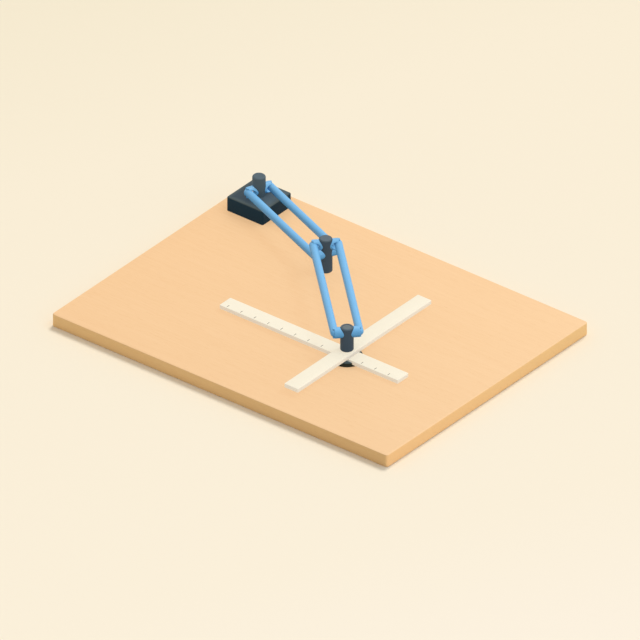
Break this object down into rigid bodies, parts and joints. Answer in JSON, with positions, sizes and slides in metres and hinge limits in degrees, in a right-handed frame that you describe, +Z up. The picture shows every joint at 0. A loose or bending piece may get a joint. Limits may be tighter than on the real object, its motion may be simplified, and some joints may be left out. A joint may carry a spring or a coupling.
{
  "type": "drafting machine",
  "caption": "Drawing board with a parallelogram-arm drafting machine: linked round rods carry a head with two crossed scales that stay square as it moves and turn in click steps.",
  "frame": {"origin": "centre of the board's underside", "axes": "+Z up, +X along the board's long side, +Y towards the edge that carries the base block"},
  "size_m": [0.636, 0.478, 0.0796],
  "materials": {
    "board_wood": "clear satin lacquer",
    "slate_paint": "fine textured powder coat",
    "dark_paint": "satin powder coat",
    "blue_paint": "smooth satin enamel",
    "bare_steel": "turned and ground",
    "bronze": "plain bearing bronze",
    "nylon": "natural",
    "scale_ivory": "satin laminate",
    "mark_ink": "filled engraving",
    "slate_plastic": "fine moulded grain"
  },
  "bodies": {
    "root": {"drawing_board": "board_wood", "base_block": "dark_paint", "base_block_screws": "bare_steel", "base_post": "slate_paint", "base_post_screw": "bare_steel", "base_crossbar_front": "blue_paint", "base_crossbar_rear": "blue_paint", "base_crossbar_screws": "bare_steel", "base_pivot_pins": "bare_steel"},
    "upper_arm_front": {"upper_rod_front": "blue_paint", "upper_rod_front_plugs": "blue_paint", "upper_rod_front_bushes": "bronze"},
    "upper_arm_rear": {"upper_rod_rear": "blue_paint", "upper_rod_rear_plugs": "blue_paint", "upper_rod_rear_bushes": "bronze"},
    "elbow": {"elbow_post": "slate_paint", "elbow_crossbar_front": "blue_paint", "elbow_crossbar_rear": "blue_paint", "elbow_crossbar_screws": "bare_steel", "elbow_lower_pins": "bare_steel", "elbow_upper_pins": "bare_steel"},
    "forearm_front": {"forearm_rod_front": "blue_paint", "forearm_rod_front_plugs": "blue_paint", "forearm_rod_front_bushes": "bronze"},
    "forearm_rear": {"forearm_rod_rear": "blue_paint", "forearm_rod_rear_plugs": "blue_paint", "forearm_rod_rear_bushes": "bronze"},
    "head": {"head_post": "slate_paint", "head_crossbar_front": "blue_paint", "head_crossbar_rear": "blue_paint", "head_crossbar_screws": "bare_steel", "head_pivot_pins": "bare_steel", "spindle_bush": "bronze", "click_carrier": "bare_steel", "click_balls": "bare_steel", "click_springs": "bare_steel"},
    "scales": {"hub_disc": "dark_paint", "hub_glide": "nylon", "spindle": "bare_steel", "spindle_screw": "bare_steel", "long_scale": "scale_ivory", "short_scale": "scale_ivory", "scale_marks": "mark_ink", "scale_screws": "bare_steel", "thrust_washer": "nylon", "release_spring": "bare_steel"},
    "release": {"release_stem": "bare_steel", "release_button": "slate_plastic"}
  },
  "joints": [
    {"name": "shoulder_swing", "type": "hinge", "parent": "root", "child": "upper_arm_front", "pos_m": [-0.26851, 0.16539, 0.0541], "axis": [0, 0, 1], "range_deg": [-25, 25]},
    {"name": "shoulder_rear_swing", "type": "hinge", "parent": "root", "child": "upper_arm_rear", "pos_m": [-0.25429, 0.20041, 0.0541], "axis": [0, 0, 1], "range_deg": [-25, 25]},
    {"name": "elbow_level", "type": "hinge", "parent": "upper_arm_front", "child": "elbow", "pos_m": [-0.08135, 0.08939, 0.0541], "axis": [0, 0, 1], "range_deg": [-25, 25]},
    {"name": "forearm_swing", "type": "hinge", "parent": "elbow", "child": "forearm_front", "pos_m": [-0.08739, 0.09333, 0.0683], "axis": [0, 0, 1], "range_deg": [-25, 25]},
    {"name": "forearm_rear_swing", "type": "hinge", "parent": "elbow", "child": "forearm_rear", "pos_m": [-0.06109, 0.12047, 0.0683], "axis": [0, 0, 1], "range_deg": [-25, 25]},
    {"name": "head_level", "type": "hinge", "parent": "forearm_front", "child": "head", "pos_m": [0.08998, -0.07856, 0.0683], "axis": [0, 0, 1], "range_deg": [-25, 25]},
    {"name": "scale_turn", "type": "hinge", "parent": "head", "child": "scales", "pos_m": [0.10314, -0.06499, 0.041], "axis": [0, 0, 1], "continuous": true},
    {"name": "release_press", "type": "slide", "parent": "scales", "child": "release", "axis": [0, 0, -1], "range_m": [0, 0.0015], "stiffness_N_per_m": 1500}
  ],
  "couplings": [
    {"joint": "shoulder_rear_swing", "follows": "shoulder_swing", "ratio": 1},
    {"joint": "elbow_level", "follows": "shoulder_swing", "ratio": -1},
    {"joint": "forearm_rear_swing", "follows": "forearm_swing", "ratio": 1},
    {"joint": "head_level", "follows": "forearm_swing", "ratio": -1}
  ]
}
